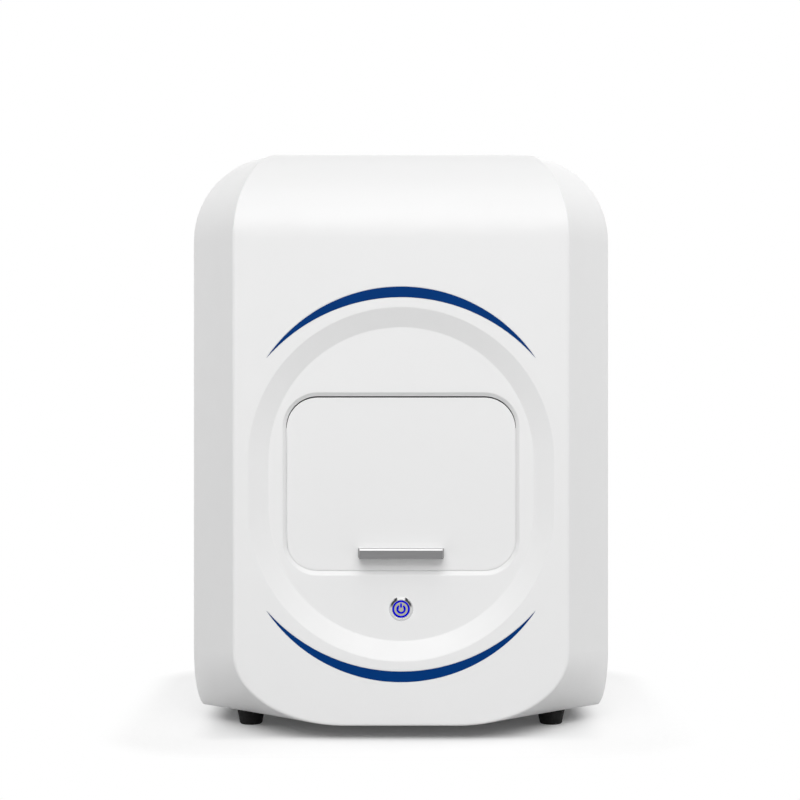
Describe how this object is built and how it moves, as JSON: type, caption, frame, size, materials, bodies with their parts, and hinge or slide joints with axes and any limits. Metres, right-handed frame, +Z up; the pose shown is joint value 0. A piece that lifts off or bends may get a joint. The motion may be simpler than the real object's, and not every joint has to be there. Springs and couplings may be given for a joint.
{
  "type": "colony counter",
  "caption": "Bench-top white housing with flared sides, an oval front recess, a flip-up door onto a lit dark chamber with a camera, and a power button.",
  "frame": {"origin": "centre of the footprint's bounding box, on the floor under the rubber feet", "axes": "+Z up, the front with the door faces -Y, +X to the right seen from the front"},
  "size_m": [0.4, 0.4048, 0.5427],
  "materials": {
    "white_housing": "satin moulded",
    "white_door": "satin moulded",
    "inner_white": "fine texture",
    "blue_strip": "smooth",
    "blue_light": "translucent",
    "button_chrome": "polished",
    "satin_nickel": "brushed",
    "handle_aluminium": "satin anodised",
    "steel_screw": "plated",
    "grey_sheet": "powder coated",
    "black_sheet": "matt black coated",
    "rubber": "moulded",
    "opal": "opal",
    "clear_ring": "smooth",
    "board_green": "solder mask",
    "board_white": "solder mask",
    "lamp": "moulded",
    "lens_black": "black anodised",
    "lens_glass": "coated",
    "camera_grey": "anodised",
    "bare_aluminium": "milled",
    "black_plastic": "moulded",
    "magnet_grey": "ferrite",
    "zinc_steel": "zinc plated"
  },
  "bodies": {
    "housing": {"front_bezel": "white_housing", "main_cover": "white_housing", "base_plate": "grey_sheet", "rubber_feet": "rubber", "foot_screws": "steel_screw", "accent_strip_upper": "blue_strip", "accent_strip_lower": "blue_strip", "hinge_pins": "steel_screw", "button_body": "button_chrome", "button_nut": "button_chrome", "chamber_cheeks": "black_sheet", "chamber_back": "black_sheet", "chamber_roof": "black_sheet", "stage_plate": "black_sheet", "dish_ring": "clear_ring", "stage_diffuser": "opal", "backlight_tray": "zinc_steel", "backlight_board": "board_white", "backlight_leds": "lamp", "ring_light_housing": "black_sheet", "ring_light_diffuser": "opal", "ring_light_board": "board_white", "ring_light_leds": "lamp", "lens_barrel": "lens_black", "lens_glass": "lens_glass", "camera_body": "camera_grey", "camera_bracket": "bare_aluminium", "rear_panel": "grey_sheet", "fan_frame": "black_plastic", "fan_guard": "button_chrome", "fan_screws": "steel_screw", "fan_nuts": "steel_screw", "panel_screws": "steel_screw", "mains_inlet": "black_plastic", "inlet_pins": "satin_nickel", "switch_frame": "black_plastic", "usb_sockets": "zinc_steel", "power_supply": "zinc_steel", "mainboard": "board_green", "mainboard_standoffs": "satin_nickel", "heat_sink": "bare_aluminium", "board_connectors": "inner_white", "board_chips": "black_plastic", "catch_magnets": "magnet_grey"},
    "door": {"door_panel": "white_door", "door_liner": "inner_white", "door_handle": "handle_aluminium", "handle_screws": "steel_screw", "catch_keepers": "zinc_steel"},
    "power_button": {"button_cap": "satin_nickel", "button_light_ring": "blue_light"},
    "switch_rocker": {"switch_rocker": "black_plastic"},
    "fan_impeller": {"fan_rotor": "black_plastic"},
    "lens_iris_ring": {"iris_ring": "lens_black"},
    "lens_focus_ring": {"focus_ring": "lens_black"}
  },
  "joints": [
    {"name": "door_hinge", "type": "hinge", "parent": "housing", "child": "door", "pos_m": [0, -0.1814, 0.2745], "axis": [-1, 0, 0], "range_deg": [0, 95]},
    {"name": "power_button_press", "type": "slide", "parent": "housing", "child": "power_button", "axis": [0, 1, 0], "range_m": [0, 0.0015], "stiffness_N_per_m": 600, "springref_m": -0.002},
    {"name": "rocker_tilt", "type": "hinge", "parent": "housing", "child": "switch_rocker", "pos_m": [0.13, 0.1964, 0.122], "axis": [-1, 0, 0], "range_deg": [0, 20]},
    {"name": "fan_spin", "type": "hinge", "parent": "housing", "child": "fan_impeller", "pos_m": [0, 0.1944, 0.3], "axis": [0, 1, 0], "continuous": true},
    {"name": "iris_turn", "type": "hinge", "parent": "housing", "child": "lens_iris_ring", "pos_m": [0, -0.0726, 0.37], "axis": [0, 0, 1], "range_deg": [0, 60]},
    {"name": "focus_turn", "type": "hinge", "parent": "housing", "child": "lens_focus_ring", "pos_m": [0, -0.0726, 0.395], "axis": [0, 0, 1], "range_deg": [-60, 60]}
  ]
}
